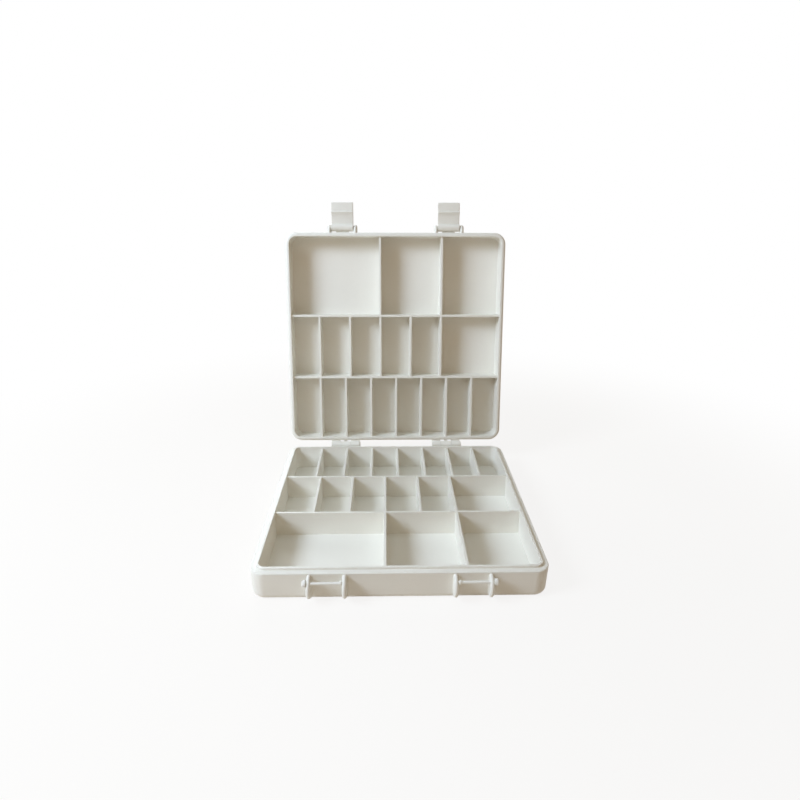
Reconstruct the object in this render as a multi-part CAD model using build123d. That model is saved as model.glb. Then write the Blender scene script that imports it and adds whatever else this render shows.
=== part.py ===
from build123d import *
import os
from math import atan, cos, degrees, radians, sin, tan

# Compartment storage box: two divided trays, hinged along the back and closed by two latches.
# Sizes are in millimetres. X runs along the hinge, Y from the front to the back, Z upwards.
# The origin is at the centre of the base's underside. The box is drawn open, its latches raised.

# Trays
box_width = 210.0
box_depth = 203.0
base_height = 22.5
lid_height = 22.5
corner_radius = 11.0
wall_lean = 0.8
face_edge_radius = 5.0
floor_thickness = 2.5

# Rims: a tongue stands on the base's ledge, and the closed lid's rim lies round it
ledge_width = 4.1
ledge_edge_bevel = 0.8
tongue_thickness = 1.9
tongue_height = 1.9
tongue_edge_bevel = 0.4
rim_edge_radius = 2.6
tongue_gap = 0.3
closing_gap = 0.3

# Dividers: the two long ones by their distance from the hinge wall, the short ones by
# the centre line of the first in a row and the pitch to the next
divider_thickness = 2.0
divider_drop = 1.5
divider_gap = 0.3
hinge_row_divider = 64.2
outer_row_divider = 124.5
hinge_row_pockets = 8
middle_row_pockets = 6
base_hinge_row = (-73.0, 24.7)
base_middle_row = (-68.6, 29.0)
lid_hinge_row = (-74.6, 25.0)
lid_middle_row = (-74.2, 29.6)

# Pins and what they share: hinges and latches stand at the same two stations along the box
station_offset = 50.6
pin_radius = 1.0
running_clearance = 0.05
side_gap = 0.3

# Hinges
hinge_offset = 3.9
hinge_radius = 3.0
hinge_open_angle = 100.0
base_knuckle_length = 10.4
lid_knuckle_length = 8.4
knuckle_root_drop = 5.0
knuckle_root_depth = 2.0
stop_lug_width = 3.0
stop_lug_reach = 5.2
stop_gap = 0.15
hinge_pin_head_radius = 2.3
hinge_pin_head_length = 1.1

# Ears: a pair on the lid carries each latch, and a pair on the base holds its keeper pin
ear_clear_width = 21.2
ear_thickness = 3.4
ear_edge_bevel = 1.1
ear_root_depth = 1.6
ear_rim_drop = 1.0
pin_offset = 4.6
base_ear_reach = 8.4
base_ear_height = 17.8
lid_ear_reach = 7.2
lid_ear_height = 10.2
keeper_drop = 4.6
keeper_boss_radius = 1.5
keeper_boss_length = 1.8
keeper_head_radius = 2.5
keeper_head_length = 2.6
keeper_head_bevel = 0.7

# Latches
pivot_drop = 5.1
barrel_radius = 3.5
latch_length = 23.3
hook_slope = 44.0
hook_height = 2.8
hook_crest_width = 0.9
keeper_gap = 0.3
tab_thickness = 2.6
heel_width = 12.0
heel_gap = 0.2
latch_edge_bevel = 0.5

tongue_inset = ledge_width + tongue_thickness
lid_rim_width = ledge_width - tongue_gap
lid_divider_recess = tongue_height + divider_gap - closing_gap
lid_wall_angle = degrees(atan(wall_lean / lid_height))
lid_turn = 180.0 - hinge_open_angle
hinge_axis = Location((0, box_depth / 2 + hinge_offset, base_height + closing_gap / 2))
lid_place = hinge_axis * Location((0, 0, 0), (lid_turn, 0, 0))
pin_bore_radius = pin_radius + running_clearance
latch_width = ear_clear_width - 2 * side_gap
hinge_half_length = base_knuckle_length / 2 + side_gap + lid_knuckle_length
ear_half_span = ear_clear_width / 2 + ear_thickness
stations = {"left": Pos(-station_offset), "right": Pos(station_offset)}


def bar(profile, length):
    """Solid of a profile drawn in Y and Z, centred on X and as long as given."""
    return Pos(-length / 2) * extrude(Plane.YZ * profile, length)


def spans(start, end, centres):
    """Clear spaces between two walls when dividers stand on the given centre lines."""
    half = divider_thickness / 2
    edges = [start]
    for centre in centres:
        edges += [centre - half, centre + half]
    edges.append(end)
    return list(zip(edges[0::2], edges[1::2]))


def row_centres(row, pockets):
    """Centre lines of the short dividers in a row, from its first one and its pitch."""
    first, pitch = row
    return [first + pitch * i for i in range(pockets - 1)]


def pocket_spans(inset, hinge_row, middle_row):
    """Across and depth spans of every pocket of a tray, depths counted from its hinge side."""
    hinge_centres = row_centres(hinge_row, hinge_row_pockets)
    middle_centres = row_centres(middle_row, middle_row_pockets)
    outer_centres = [middle_centres[2], middle_centres[4]]
    side = box_width / 2 - inset
    rows = spans(inset, box_depth - inset, (hinge_row_divider, outer_row_divider))
    return [
        (across, depth)
        for depth, centres in zip(rows, (hinge_centres, middle_centres, outer_centres))
        for across in spans(-side, side, centres)
    ]


def pocket_plan(across, depth, inset):
    """Outline of a pocket, rounded where it lies in a corner of the box."""
    side = box_width / 2 - inset
    ends = (inset, box_depth - inset)

    def at_box_corner(vertex):
        on_side = abs(abs(vertex.X) - side) < divider_thickness / 2
        on_end = min(abs(vertex.Y - end) for end in ends) < divider_thickness / 2
        return on_side and on_end

    centre = Pos(sum(across) / 2, sum(depth) / 2)
    plan = centre * Rectangle(across[1] - across[0], depth[1] - depth[0])
    box_corner = [v for v in plan.vertices() if at_box_corner(v)]
    return fillet(box_corner, corner_radius - inset) if box_corner else plan


def pockets(inset, hinge_row, middle_row, floor, top):
    """The empty space of every pocket, from the tray's floor up to the divider tops."""
    return [
        extrude(Pos(0, 0, floor) * pocket_plan(across, depth, inset), top - floor)
        for across, depth in pocket_spans(inset, hinge_row, middle_row)
    ]


def rounded_block(inset, bottom, top):
    """Block with the box's outline drawn in by an inset, its hinge side near y = 0."""
    plan = RectangleRounded(box_width - 2 * inset, box_depth - 2 * inset, corner_radius - inset)
    return extrude(Pos(0, box_depth / 2, bottom) * plan, top - bottom)


def tray_blank(height):
    """Outer form of a tray from its rim at z = 0 down, its walls leaning in below the rim."""
    plan = Pos(0, box_depth / 2) * RectangleRounded(box_width, box_depth, corner_radius)
    blank = extrude(plan, height, dir=(0, 0, -1), taper=degrees(atan(wall_lean / height)))
    blank = fillet(blank.edges().group_by(Axis.Z)[0], face_edge_radius)
    half = split(blank, Plane.YZ, keep=Keep.BOTTOM)
    return half + mirror(half, Plane.YZ)


def top_edges(solid):
    """Edges round the highest level of a solid."""
    return solid.edges().group_by(Axis.Z)[-1]


def knuckle(centre, length):
    """Hinge knuckle round an axis at y = 0, with the root that carries it on a tray's wall."""
    edge = hinge_radius / 2**0.5
    wall = hinge_offset + knuckle_root_depth
    root = Polyline(
        (wall, -closing_gap / 2 - rim_edge_radius),
        (0, -closing_gap / 2),
        (-edge, -edge),
        (wall, -edge - knuckle_root_drop),
        close=True,
    )
    profile = make_face(root) + Circle(hinge_radius) - Circle(pin_bore_radius)
    return Pos(centre) * bar(profile, length)


def stop_lug():
    """Lug behind the base's middle knuckle, on which the opened lid's wall comes to rest."""
    lean = radians(hinge_open_angle - 90 - lid_wall_angle)
    rise = hinge_offset * cos(radians(lid_wall_angle)) - stop_gap

    def below_wall(back):
        """Point that lies the stop gap under the opened lid's wall, behind the hinge axis."""
        return (back, rise / cos(lean) - back * tan(lean))

    near = hinge_radius * sin(lean)
    foot = radians(20)
    lug = Polyline(
        (near, 0),
        below_wall(near),
        below_wall(stop_lug_reach),
        (hinge_radius * cos(foot), -hinge_radius * sin(foot)),
        close=True,
    )
    return bar(make_face(lug) - Circle(pin_bore_radius), stop_lug_width)


def ear(reach, height):
    """One ear, a rounded plate that stands out of a wall at y = 0 and hangs from z = 0."""
    outline = Pos(0, -height / 2) * Ellipse(reach, height / 2)
    outline &= Pos(reach - ear_root_depth, -height / 2) * Rectangle(2 * reach, height)
    plate = bar(outline, ear_thickness)
    rims = [edge for edge in plate.edges() if edge.geom_type == GeomType.ELLIPSE]
    return chamfer(rims, ear_edge_bevel)


def ear_pair(reach, height, pin_drop, boss_length=0):
    """Two ears bored for a pin at a depth below z = 0, with a boss inside the second one."""
    spacing = (ear_clear_width + ear_thickness) / 2
    pair = Pos(-spacing) * ear(reach, height) + Pos(spacing) * ear(reach, height)
    pin_point = Pos(pin_offset, -pin_drop)
    if boss_length:
        boss = bar(pin_point * Circle(keeper_boss_radius), boss_length)
        pair += Pos((ear_clear_width - boss_length) / 2) * boss
    return pair - bar(pin_point * Circle(pin_bore_radius), 2 * ear_half_span)


def headed_pin(half_length, head_radius=0, head_length=0, head_bevel=0):
    """Pin along X that stays just inside its holder, with or without a head outside."""
    length = 2 * half_length - side_gap if head_length else 2 * (half_length - side_gap)
    pin = Pos(side_gap - half_length + length / 2) * bar(Circle(pin_radius), length)
    if head_length:
        head = Pos(half_length + head_length / 2) * bar(Circle(head_radius), head_length)
        if head_bevel:
            head = chamfer(head.edges().group_by(Axis.X)[-1], head_bevel)
        pin += head
    return pin


def base_tray():
    """Lower tray: ledge and tongue, pockets, middle knuckles, stop lugs and keeper ears."""
    tray = tray_blank(base_height)
    tray = chamfer(top_edges(tray), ledge_edge_bevel)
    tongue = rounded_block(ledge_width, -ledge_width, tongue_height)
    tray += chamfer(top_edges(tongue), tongue_edge_bevel)
    divider_top = tongue_height - divider_drop
    tray -= rounded_block(tongue_inset, divider_top, 2 * tongue_height)
    floor = floor_thickness - base_height
    tray -= pockets(tongue_inset, base_hinge_row, base_middle_row, floor, divider_top)
    tray = Pos(0, box_depth / 2, base_height) * mirror(tray, Plane.XZ)
    ears = ear_pair(
        base_ear_reach, base_ear_height, keeper_drop - ear_rim_drop, keeper_boss_length
    )
    ear_place = Pos(0, -box_depth / 2, base_height - ear_rim_drop)
    for name, station in stations.items():
        tray += station * hinge_axis * mirror(knuckle(0, base_knuckle_length), Plane.XZ)
        tray += station * hinge_axis * stop_lug()
        facing = mirror(ears, Plane.XZ)
        if name == "right":
            facing = mirror(facing, Plane.YZ)
        tray += station * ear_place * facing
    return tray


def lid_tray():
    """Upper tray in its own frame: hinge axis at the origin, rim upwards, front towards +Y."""
    tray = tray_blank(lid_height)
    tray = fillet(top_edges(tray), rim_edge_radius)
    tray -= rounded_block(lid_rim_width, -lid_divider_recess, lid_height)
    floor = floor_thickness - lid_height
    tray -= pockets(lid_rim_width, lid_hinge_row, lid_middle_row, floor, -lid_divider_recess)
    tray = Pos(0, hinge_offset, -closing_gap / 2) * tray
    ears = ear_pair(lid_ear_reach, lid_ear_height, pivot_drop - ear_rim_drop)
    ear_place = Pos(0, hinge_offset + box_depth, -closing_gap / 2 - ear_rim_drop)
    knuckle_centre = hinge_half_length - lid_knuckle_length / 2
    for station in stations.values():
        tray += station * knuckle(-knuckle_centre, lid_knuckle_length)
        tray += station * knuckle(knuckle_centre, lid_knuckle_length)
        tray += station * ear_place * ears
    return tray


def latch():
    """Latch in its own frame: pivot along X at the origin, tip towards +Y, hook towards +Z."""
    outer = -barrel_radius
    keeper_clearance = keeper_boss_radius + keeper_gap
    inner = -keeper_clearance
    tab_inner = outer + tab_thickness
    slope = radians(hook_slope)
    keeper_reach = pivot_drop + closing_gap + keeper_drop
    hook_start = keeper_reach + keeper_clearance * (1 - cos(slope)) / sin(slope)
    hook_crest = hook_start + hook_height / tan(slope)
    hook_end = hook_crest + hook_crest_width
    arm = Polyline(
        (0, outer),
        (latch_length, outer),
        (latch_length, tab_inner),
        (hook_end + (inner + hook_height - tab_inner) / 2, tab_inner),
        (hook_end, inner + hook_height),
        (hook_crest, inner + hook_height),
        (hook_start, inner),
        (0, inner),
        close=True,
    )
    side = fillet(make_face(arm).vertices().group_by(Axis.X)[-1], tab_thickness / 3)
    body = bar(side + Circle(barrel_radius), latch_width)
    for face in (body.faces().sort_by(Axis.X)[0], body.faces().sort_by(Axis.X)[-1]):
        body = chamfer(face.outer_wire().edges(), latch_edge_bevel)
    wall = pin_offset + wall_lean * pivot_drop / lid_height
    heel = Polyline((0, 0), (heel_gap - wall, 0), (heel_gap - wall, outer), (0, outer), close=True)
    body += bar(make_face(heel), heel_width)
    return body - bar(Circle(pin_bore_radius), 2 * latch_width)


def write(name, shape):
    """Writes one piece to its own STEP file."""
    shape.label = name
    export_step(shape, f"parts/{name}.step")


def main():
    os.makedirs("parts", exist_ok=True)
    write("base_tray", base_tray())
    write("lid_tray", lid_place * lid_tray())
    pivot = Pos(0, hinge_offset + box_depth + pin_offset, -closing_gap / 2 - pivot_drop)
    keeper = Pos(0, -box_depth / 2 - pin_offset, base_height - keeper_drop)
    keeper_pin = headed_pin(
        ear_half_span, keeper_head_radius, keeper_head_length, keeper_head_bevel
    )
    hinge_pin = headed_pin(hinge_half_length, hinge_pin_head_radius, hinge_pin_head_length)
    for name, station in stations.items():
        write(f"latch_{name}", lid_place * station * pivot * latch())
        write(f"latch_pin_{name}", lid_place * station * pivot * headed_pin(ear_half_span))
        outward = mirror(keeper_pin, Plane.YZ) if name == "left" else keeper_pin
        write(f"keeper_pin_{name}", station * keeper * outward)
        write(f"hinge_pin_{name}", station * hinge_axis * hinge_pin)


main()
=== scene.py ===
import math
import bpy
from mathutils import Matrix, Vector


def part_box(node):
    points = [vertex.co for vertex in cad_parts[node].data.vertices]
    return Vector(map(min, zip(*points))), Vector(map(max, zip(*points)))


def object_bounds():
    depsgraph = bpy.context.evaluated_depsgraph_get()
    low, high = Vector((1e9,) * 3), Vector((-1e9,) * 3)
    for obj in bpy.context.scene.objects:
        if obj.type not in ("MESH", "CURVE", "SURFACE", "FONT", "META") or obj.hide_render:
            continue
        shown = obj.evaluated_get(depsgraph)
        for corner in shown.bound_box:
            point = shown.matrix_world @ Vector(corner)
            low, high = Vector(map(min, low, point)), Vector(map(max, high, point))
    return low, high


bl_info = {
    "name": "Compartment storage box",
    "version": (1, 0, 0),
    "blender": (4, 5, 0),
    "location": "View3D > Sidebar > Storage box",
    "description": "Finishes the hinged divided storage box and lights it in a pale studio",
    "category": "Object",
}

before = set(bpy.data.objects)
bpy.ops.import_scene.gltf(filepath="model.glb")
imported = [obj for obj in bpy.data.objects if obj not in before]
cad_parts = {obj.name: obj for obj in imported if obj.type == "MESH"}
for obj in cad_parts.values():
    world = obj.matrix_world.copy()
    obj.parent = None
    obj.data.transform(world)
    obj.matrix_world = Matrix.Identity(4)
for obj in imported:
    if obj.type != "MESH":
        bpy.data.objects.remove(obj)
cad_low, cad_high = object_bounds()
base_low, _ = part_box("base_tray")

TRAYS = ("base_tray", "lid_tray")
LATCHES = ("latch_left", "latch_right")
PINS = tuple(sorted(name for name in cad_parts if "_pin_" in name))
NOISE_MIDDLE = 0.5


class PlasticSettings(bpy.types.PropertyGroup):
    """Colours and finish of the moulded plastic."""

    ivory: bpy.props.FloatVectorProperty(
        name="Ivory", description="Colour of the moulded trays and latches",
        subtype="COLOR", size=3, min=0, max=1, default=(0.85, 0.82, 0.74))
    pin_ivory: bpy.props.FloatVectorProperty(
        name="Pin ivory", description="Colour of the smoother pins",
        subtype="COLOR", size=3, min=0, max=1, default=(0.86, 0.84, 0.78))
    shade_change: bpy.props.FloatProperty(
        name="Shade change", description="How far the ivory drifts, darker and lighter",
        min=0, max=0.4, default=0.05)
    speck_share: bpy.props.FloatProperty(
        name="Speck share", description="Share of the fine specks in the drift of the ivory",
        min=0, max=1, default=0.3)
    roughness: bpy.props.FloatProperty(
        name="Roughness", description="Roughness of the satin trays",
        min=0, max=1, default=0.46)
    latch_polish: bpy.props.FloatProperty(
        name="Latch polish", description="How much less rough the latches are than the trays",
        min=0, max=0.3, default=0.06)
    pin_polish: bpy.props.FloatProperty(
        name="Pin polish", description="How much less rough the pins are than the trays",
        min=0, max=0.3, default=0.12)
    speck_roughness: bpy.props.FloatProperty(
        name="Speck roughness", description="Change of the roughness from speck to speck",
        min=0, max=0.3, default=0.10)
    drift_roughness: bpy.props.FloatProperty(
        name="Drift roughness", description="Change of the roughness over a moulding",
        min=0, max=0.3, default=0.06)
    refraction: bpy.props.FloatProperty(
        name="Refraction", description="Index of refraction of the plastic",
        min=1, max=3, default=1.49)
    drift_size: bpy.props.FloatProperty(
        name="Drift size", description="Size of the slow changes of shade over a moulding",
        subtype="DISTANCE", unit="LENGTH", min=0.001, max=0.5, default=0.054)
    speck_size: bpy.props.FloatProperty(
        name="Speck size", description="Size of the fine specks of shade and roughness",
        subtype="DISTANCE", unit="LENGTH", min=0.0001, max=0.05, default=0.0024)
    grain_size: bpy.props.FloatProperty(
        name="Grain size", description="Size of one grain of the mould's etched finish",
        subtype="DISTANCE", unit="LENGTH", min=0.0001, max=0.005, default=0.0006)
    grain_depth: bpy.props.FloatProperty(
        name="Grain depth", description="Depth of the etched grain",
        subtype="DISTANCE", unit="LENGTH", min=0, max=0.0005, default=0.00002)
    wave_size: bpy.props.FloatProperty(
        name="Wave size", description="Size of the shallow waves where the plastic shrank",
        subtype="DISTANCE", unit="LENGTH", min=0.001, max=0.1, default=0.018)
    wave_depth: bpy.props.FloatProperty(
        name="Wave depth", description="Depth of the shallow shrink waves",
        subtype="DISTANCE", unit="LENGTH", min=0, max=0.001, default=0.00008)


class EdgeSettings(bpy.types.PropertyGroup):
    """How a piece's flats are joined and its edges softened."""

    weld: bpy.props.FloatProperty(
        name="Weld", description="Corners nearer than this are joined",
        subtype="DISTANCE", unit="LENGTH", min=0, max=0.001, default=0.000005)
    flatness: bpy.props.FloatProperty(
        name="Flatness", description="Faces that turn by less than this become one flat",
        subtype="ANGLE", unit="ROTATION", min=0, max=math.pi, default=math.radians(0.4))
    rounding: bpy.props.FloatProperty(
        name="Rounding", description="How far the small rounding of a sharp edge reaches",
        subtype="DISTANCE", unit="LENGTH", min=0, max=0.001, default=0.00015)
    rounding_steps: bpy.props.IntProperty(
        name="Rounding steps", description="Number of faces across a rounded edge",
        min=1, max=8, default=2)
    crease: bpy.props.FloatProperty(
        name="Crease", description="Edges that turn by more than this are sharp, and get rounded",
        subtype="ANGLE", unit="ROTATION", min=0, max=math.pi, default=math.radians(50))


class StageSettings(bpy.types.PropertyGroup):
    """Camera, floor and light of the pale studio."""

    sensor: bpy.props.FloatProperty(
        name="Sensor", description="Width of the camera's sensor in millimetres",
        min=1, max=100, default=36.0)
    lens: bpy.props.FloatProperty(
        name="Lens", description="Focal length of the camera in millimetres",
        min=10, max=200, default=26.79)
    camera_place: bpy.props.FloatVectorProperty(
        name="Camera place", description="Where the photograph was taken from",
        subtype="TRANSLATION", unit="LENGTH", size=3, default=(-0.0090, -0.4406, 0.27965))
    camera_yaw: bpy.props.FloatProperty(
        name="Camera yaw", description="Turn of the camera to the right of straight ahead",
        subtype="ANGLE", unit="ROTATION", default=math.radians(1.365))
    camera_pitch: bpy.props.FloatProperty(
        name="Camera pitch", description="How far the camera looks down",
        subtype="ANGLE", unit="ROTATION", default=math.radians(20.960))
    camera_roll: bpy.props.FloatProperty(
        name="Camera roll", description="Turn of the picture about the line of sight",
        subtype="ANGLE", unit="ROTATION", default=math.radians(0.306))
    floor_reach: bpy.props.FloatProperty(
        name="Floor reach", description="How far the floor reaches on each side of the box",
        subtype="DISTANCE", unit="LENGTH", min=0.1, max=20, default=3.0)
    floor_colour: bpy.props.FloatVectorProperty(
        name="Floor colour", description="Colour of the plain pale floor",
        subtype="COLOR", size=3, min=0, max=1, default=(0.80, 0.73, 0.64))
    floor_white: bpy.props.FloatProperty(
        name="Floor white", description="Share of plain white in the floor beside the box",
        min=0, max=1, default=0.86)
    floor_near: bpy.props.FloatProperty(
        name="Floor near", description="Distance from the box where the floor starts to whiten",
        subtype="DISTANCE", unit="LENGTH", min=0, max=10, default=0.25)
    floor_far: bpy.props.FloatProperty(
        name="Floor far", description="Distance from the box where the floor is plain white",
        subtype="DISTANCE", unit="LENGTH", min=0, max=10, default=0.60)
    key_place: bpy.props.FloatVectorProperty(
        name="Key place", description="Where the main lamp hangs, to the left in front",
        subtype="TRANSLATION", unit="LENGTH", size=3, default=(-0.74, -0.34, 0.63))
    key_size: bpy.props.FloatProperty(
        name="Key size", description="Width of the square main lamp",
        subtype="DISTANCE", unit="LENGTH", min=0.01, max=2, default=0.34)
    key_power: bpy.props.FloatProperty(
        name="Key power", description="Power of the main lamp",
        subtype="POWER", unit="POWER", min=0, max=200, default=9.4)
    key_colour: bpy.props.FloatVectorProperty(
        name="Key colour", description="Colour of the main lamp, as cool as a window",
        subtype="COLOR", size=3, min=0, max=1, default=(0.67, 0.81, 1.0))
    over_place: bpy.props.FloatVectorProperty(
        name="Over place", description="Where the soft lamp hangs, over the box",
        subtype="TRANSLATION", unit="LENGTH", size=3, default=(0.0, 0.0, 1.60))
    over_size: bpy.props.FloatProperty(
        name="Over size", description="Width of the square soft lamp over the box",
        subtype="DISTANCE", unit="LENGTH", min=0.01, max=4, default=1.20)
    over_power: bpy.props.FloatProperty(
        name="Over power", description="Power of the soft lamp over the box",
        subtype="POWER", unit="POWER", min=0, max=200, default=4.4)
    over_colour: bpy.props.FloatVectorProperty(
        name="Over colour", description="Colour of the soft lamp over the box",
        subtype="COLOR", size=3, min=0, max=1, default=(0.55, 0.82, 1.0))
    back_place: bpy.props.FloatVectorProperty(
        name="Back place", description="Where the soft lamp hangs, behind to the left",
        subtype="TRANSLATION", unit="LENGTH", size=3, default=(-0.50, 1.30, 0.80))
    back_size: bpy.props.FloatProperty(
        name="Back size", description="Width of the square soft lamp behind",
        subtype="DISTANCE", unit="LENGTH", min=0.01, max=4, default=0.90)
    back_power: bpy.props.FloatProperty(
        name="Back power", description="Power of the soft lamp behind",
        subtype="POWER", unit="POWER", min=0, max=200, default=9.0)
    back_colour: bpy.props.FloatVectorProperty(
        name="Back colour", description="Colour of the soft lamp behind",
        subtype="COLOR", size=3, min=0, max=1, default=(0.84, 0.93, 1.0))
    ambient_colour: bpy.props.FloatVectorProperty(
        name="Ambient colour", description="Colour of the warm light from all round",
        subtype="COLOR", size=3, min=0, max=1, default=(1.0, 0.67, 0.33))
    ambient_strength: bpy.props.FloatProperty(
        name="Ambient strength", description="Level of the light from all round",
        min=0, max=5, default=0.26)


class Value:
    """A socket that takes part in arithmetic, each operation adding a Math node."""

    def __init__(self, tree, socket):
        self.tree = tree
        self.socket = socket

    def math(self, operation, first, second):
        """A Math node of two values or numbers."""
        return self.tree.value("ShaderNodeMath", {"operation": operation}, {0: first, 1: second})

    def __add__(self, other):
        return self.math("ADD", self, other)

    def __radd__(self, other):
        return self.math("ADD", other, self)

    def __sub__(self, other):
        return self.math("SUBTRACT", self, other)

    def __rsub__(self, other):
        return self.math("SUBTRACT", other, self)

    def __mul__(self, other):
        return self.math("MULTIPLY", self, other)

    def __rmul__(self, other):
        return self.math("MULTIPLY", other, self)

    def or_more(self, other):
        """The larger of this and another value."""
        return self.math("MAXIMUM", self, other)


class NodeTree:
    """A node tree that is filled through a few short calls."""

    def __init__(self, tree):
        self.nodes = tree.nodes
        self.links = tree.links
        self.nodes.clear()

    def put(self, slot, value):
        """Links a socket or value to an input, or sets it to a number or colour."""
        if isinstance(value, Value):
            value = value.socket
        if isinstance(value, bpy.types.NodeSocket):
            self.links.new(value, slot)
        else:
            slot.default_value = value

    def node(self, kind, options, inputs):
        """A node of a type, its options set first and then its inputs."""
        node = self.nodes.new(kind)
        for name, value in options.items():
            setattr(node, name, value)
        for name, value in inputs.items():
            self.put(node.inputs[name], value)
        return node

    def value(self, kind, options, inputs):
        """The first output of a new node, ready for arithmetic."""
        return Value(self, self.node(kind, options, inputs).outputs[0])

    def noise(self, place, size, detail):
        """Noise whose blots are about as large as given."""
        return self.value(
            "ShaderNodeTexNoise", {}, {"Vector": place, "Scale": 1 / size, "Detail": detail})

    def mixed_colour(self, factor, first, second):
        """A colour between two others. Inputs 6 and 7 of the Mix node are its colours."""
        return self.node(
            "ShaderNodeMix", {"data_type": "RGBA"}, {0: factor, 6: first, 7: second}).outputs[2]

    def mixed_shader(self, factor, first, second):
        """A shader between two others."""
        return self.node(
            "ShaderNodeMixShader", {},
            {0: factor, 1: first.outputs[0], 2: second.outputs[0]}).outputs[0]

    def seen_directly(self):
        """1 where the camera, a glossy ray or a ray through glass looks, and 0 elsewhere."""
        rays = self.node("ShaderNodeLightPath", {}, {}).outputs
        camera = Value(self, rays["Is Camera Ray"])
        glossy = Value(self, rays["Is Glossy Ray"])
        through = Value(self, rays["Is Transmission Ray"])
        return camera.or_more(glossy).or_more(through)


def shader_tree(holder):
    """The emptied node tree of a material or world."""
    holder.use_nodes = True
    return NodeTree(holder.node_tree)


def opaque(colour):
    """The four numbers of a solid colour."""
    return (*colour, 1.0)


def scaled(colour, by):
    """A colour made darker or lighter by a factor."""
    return tuple(min(1.0, part * by) for part in colour)


def moulded_plastic(name, plastic, colour, roughness, grain_depth):
    """Satin moulded plastic: drifting ivory, an etched grain and shallow shrink waves."""
    material = bpy.data.materials.new(name)
    tree = shader_tree(material)
    place = tree.node("ShaderNodeTexCoord", {}, {}).outputs["Object"]
    drift = tree.noise(place, plastic.drift_size, detail=2.0)
    waves = tree.noise(place, plastic.wave_size, detail=2.0)
    grain = tree.noise(place, plastic.grain_size, detail=3.0)
    specks = tree.noise(place, plastic.speck_size, detail=4.0)
    shade = drift * (1 - plastic.speck_share) + specks * plastic.speck_share
    tone = tree.mixed_colour(
        shade,
        opaque(scaled(colour, 1 - plastic.shade_change)),
        opaque(scaled(colour, 1 + plastic.shade_change)))
    polish = (
        (specks - NOISE_MIDDLE) * plastic.speck_roughness
        + (drift - NOISE_MIDDLE) * plastic.drift_roughness)
    height = (grain - NOISE_MIDDLE) * grain_depth + (waves - NOISE_MIDDLE) * plastic.wave_depth
    bump = tree.node("ShaderNodeBump", {}, {"Height": height, "Distance": 1.0, "Strength": 1.0})
    surface = tree.node("ShaderNodeBsdfPrincipled", {}, {
        "Base Color": tone,
        "Roughness": polish + roughness,
        "Normal": bump.outputs["Normal"],
        "IOR": plastic.refraction,
    })
    tree.node("ShaderNodeOutputMaterial", {}, {"Surface": surface.outputs[0]})
    return material


def soft_face_tree():
    """Geometry nodes that shade a piece smooth up to its crisp edges."""
    group = bpy.data.node_groups.get("soft_faces")
    if group:
        return group
    group = bpy.data.node_groups.new("soft_faces", "GeometryNodeTree")
    face = group.interface
    face.new_socket(name="Piece", in_out="INPUT", socket_type="NodeSocketGeometry")
    face.new_socket(name="Crease", in_out="INPUT", socket_type="NodeSocketFloat")
    face.new_socket(name="Piece", in_out="OUTPUT", socket_type="NodeSocketGeometry")
    tree = NodeTree(group)
    given = tree.node("NodeGroupInput", {}, {}).outputs
    angle = tree.node("GeometryNodeInputMeshEdgeAngle", {}, {}).outputs["Unsigned Angle"]
    crisp = tree.node(
        "FunctionNodeCompare", {"operation": "GREATER_THAN"}, {0: angle, 1: given["Crease"]})
    faces = tree.node("GeometryNodeSetShadeSmooth", {"domain": "FACE"}, {
        "Geometry": given["Piece"]})
    edges = tree.node("GeometryNodeSetShadeSmooth", {"domain": "EDGE"}, {
        "Geometry": faces.outputs["Geometry"], "Selection": crisp.outputs[0],
        "Shade Smooth": False})
    tree.node("NodeGroupOutput", {}, {"Piece": edges.outputs["Geometry"]})
    return group


def soften(piece, edges):
    """Joins a piece's triangles into whole flats, rounds its sharp edges and shades it smooth."""
    weld = piece.modifiers.new("joined_corners", "WELD")
    weld.merge_threshold = edges.weld
    flats = piece.modifiers.new("whole_flats", "DECIMATE")
    flats.decimate_type = "DISSOLVE"
    flats.angle_limit = edges.flatness
    rounding = piece.modifiers.new("rounded_edges", "BEVEL")
    rounding.width = edges.rounding
    rounding.segments = edges.rounding_steps
    rounding.limit_method = "ANGLE"
    rounding.angle_limit = edges.crease
    rounding.use_clamp_overlap = False
    group = soft_face_tree()
    shading = piece.modifiers.new("soft_faces", "NODES")
    shading.node_group = group
    given = {item.name: item.identifier for item in group.interface.items_tree
             if item.in_out == "INPUT"}
    shading[given["Crease"]] = edges.crease
    weighted = piece.modifiers.new("flats_stay_flat", "WEIGHTED_NORMAL")
    weighted.keep_sharp = True


def finish_pieces(names, material, edges):
    """Puts a material and softened edges on some pieces of the frame."""
    for name in names:
        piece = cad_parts[name]
        piece.data.materials.clear()
        piece.data.materials.append(material)
        soften(piece, edges)


class STORAGEBOX_OT_trays(bpy.types.Operator):
    """Finish the two divided trays in satin ivory plastic"""

    bl_idname = "storagebox.trays"
    bl_label = "Trays"

    def execute(self, context):
        plastic = context.scene.storage_plastic
        material = moulded_plastic(
            "tray_plastic", plastic, plastic.ivory, plastic.roughness, plastic.grain_depth)
        finish_pieces(TRAYS, material, context.scene.storage_edges)
        return {"FINISHED"}


class STORAGEBOX_OT_latches(bpy.types.Operator):
    """Finish the two snap latches, a little smoother than the trays"""

    bl_idname = "storagebox.latches"
    bl_label = "Latches"

    def execute(self, context):
        plastic = context.scene.storage_plastic
        roughness = plastic.roughness - plastic.latch_polish
        material = moulded_plastic(
            "latch_plastic", plastic, plastic.ivory, roughness, plastic.grain_depth)
        finish_pieces(LATCHES, material, context.scene.storage_edges)
        return {"FINISHED"}


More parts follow.
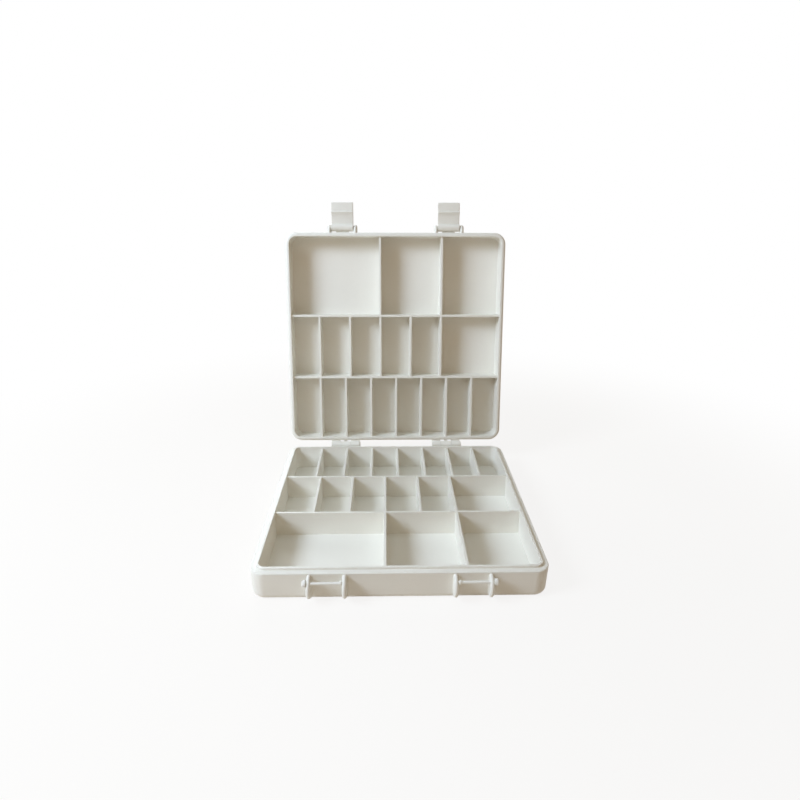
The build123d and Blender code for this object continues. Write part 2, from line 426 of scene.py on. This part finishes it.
class STORAGEBOX_OT_pins(bpy.types.Operator):
    """Finish the hinge, latch and keeper pins, smoothest and with half the grain"""

    bl_idname = "storagebox.pins"
    bl_label = "Pins"

    def execute(self, context):
        plastic = context.scene.storage_plastic
        roughness = plastic.roughness - plastic.pin_polish
        material = moulded_plastic(
            "pin_plastic", plastic, plastic.pin_ivory, roughness, plastic.grain_depth / 2)
        finish_pieces(PINS, material, context.scene.storage_edges)
        return {"FINISHED"}


def look_at(place, target):
    """The turn that points a lamp from its place to a target."""
    return (Vector(target) - Vector(place)).to_track_quat("-Z", "Y").to_euler()


def make_lamp(name, place, target, size, power, colour):
    """A square soft lamp."""
    light = bpy.data.lights.new(name, "AREA")
    light.shape = "SQUARE"
    light.size = size
    light.energy = power
    light.color = colour
    holder = bpy.data.objects.new(name, light)
    holder.location = place
    holder.rotation_euler = look_at(place, target)
    bpy.context.scene.collection.objects.link(holder)


def make_floor(stage):
    """A wide pale floor under the box that keeps its shadow."""
    reach = stage.floor_reach
    mesh = bpy.data.meshes.new("floor")
    corners = [(-reach, -reach), (reach, -reach), (reach, reach), (-reach, reach)]
    mesh.from_pydata([(x, y, base_low.z) for x, y in corners], [], [(0, 1, 2, 3)])
    floor = bpy.data.objects.new("floor", mesh)
    bpy.context.scene.collection.objects.link(floor)
    material = bpy.data.materials.new("pale_floor")
    tree = shader_tree(material)
    matt = tree.node("ShaderNodeBsdfDiffuse", {}, {"Color": opaque(stage.floor_colour)})
    white = tree.node("ShaderNodeEmission", {}, {"Color": (1, 1, 1, 1), "Strength": 1.0})
    place = tree.node("ShaderNodeTexCoord", {}, {}).outputs["Object"]
    away = tree.node("ShaderNodeVectorMath", {"operation": "LENGTH"}, {0: place})
    white_share = tree.value("ShaderNodeMapRange", {"interpolation_type": "SMOOTHSTEP"}, {
        "Value": away.outputs["Value"], "From Min": stage.floor_near,
        "From Max": stage.floor_far, "To Min": stage.floor_white, "To Max": 1.0})
    surface = tree.mixed_shader(tree.seen_directly() * white_share, matt, white)
    tree.node("ShaderNodeOutputMaterial", {}, {"Surface": surface})
    mesh.materials.append(material)


def make_world(stage):
    """Light from all round, with plain white behind the box."""
    world = bpy.data.worlds.new("studio")
    bpy.context.scene.world = world
    tree = shader_tree(world)
    around = tree.node("ShaderNodeBackground", {}, {
        "Color": opaque(stage.ambient_colour), "Strength": stage.ambient_strength})
    white = tree.node("ShaderNodeBackground", {}, {"Color": (1, 1, 1, 1), "Strength": 1.0})
    surface = tree.mixed_shader(tree.seen_directly(), around, white)
    tree.node("ShaderNodeOutputWorld", {}, {"Surface": surface})


def make_camera(stage):
    """The camera at the photograph's place, turned and rolled as it was."""
    data = bpy.data.cameras.new("camera")
    data.sensor_width = stage.sensor
    data.lens = stage.lens
    camera = bpy.data.objects.new("camera", data)
    turn = (
        Matrix.Rotation(-stage.camera_yaw, 4, "Z")
        @ Matrix.Rotation(math.pi / 2 - stage.camera_pitch, 4, "X")
        @ Matrix.Rotation(stage.camera_roll, 4, "Z")
    )
    camera.matrix_world = Matrix.Translation(stage.camera_place) @ turn
    bpy.context.scene.collection.objects.link(camera)
    bpy.context.scene.camera = camera


class STORAGEBOX_OT_stage(bpy.types.Operator):
    """Make the pale floor, the lamps and the camera"""

    bl_idname = "storagebox.stage"
    bl_label = "Stage"

    def execute(self, context):
        stage = context.scene.storage_stage
        middle = (cad_low + cad_high) / 2
        make_floor(stage)
        make_world(stage)
        make_lamp("key_lamp", stage.key_place, middle, stage.key_size, stage.key_power,
                  stage.key_colour)
        make_lamp("over_lamp", stage.over_place, middle, stage.over_size, stage.over_power,
                  stage.over_colour)
        make_lamp("back_lamp", stage.back_place, middle, stage.back_size, stage.back_power,
                  stage.back_colour)
        make_camera(stage)
        context.scene.view_settings.view_transform = "Standard"
        return {"FINISHED"}


class STORAGEBOX_PT_panel(bpy.types.Panel):
    """Lists the box's settings and operators in the sidebar"""

    bl_idname = "STORAGEBOX_PT_panel"
    bl_label = "Storage box"
    bl_space_type = "VIEW_3D"
    bl_region_type = "UI"
    bl_category = "Storage box"

    def draw(self, context):
        for group_name, group in GROUPS.items():
            for name in group.__annotations__:
                self.layout.prop(getattr(context.scene, group_name), name)
        for operator in OPERATORS:
            self.layout.operator(operator.bl_idname)


GROUPS = {
    "storage_plastic": PlasticSettings,
    "storage_edges": EdgeSettings,
    "storage_stage": StageSettings,
}
OPERATORS = (
    STORAGEBOX_OT_trays,
    STORAGEBOX_OT_latches,
    STORAGEBOX_OT_pins,
    STORAGEBOX_OT_stage,
)


def register():
    """Adds the settings, operators and panel to Blender."""
    for name, group in GROUPS.items():
        bpy.utils.register_class(group)
        setattr(bpy.types.Scene, name, bpy.props.PointerProperty(type=group))
    for operator in OPERATORS:
        bpy.utils.register_class(operator)
    bpy.utils.register_class(STORAGEBOX_PT_panel)


def unregister():
    """Takes out what register put in, last first."""
    bpy.utils.unregister_class(STORAGEBOX_PT_panel)
    for operator in reversed(OPERATORS):
        bpy.utils.unregister_class(operator)
    for name, group in reversed(GROUPS.items()):
        delattr(bpy.types.Scene, name)
        bpy.utils.unregister_class(group)


def main():
    """Builds the finished box on its stage."""
    register()
    bpy.ops.storagebox.trays()
    bpy.ops.storagebox.latches()
    bpy.ops.storagebox.pins()
    bpy.ops.storagebox.stage()


if __name__ == "__main__":
    main()
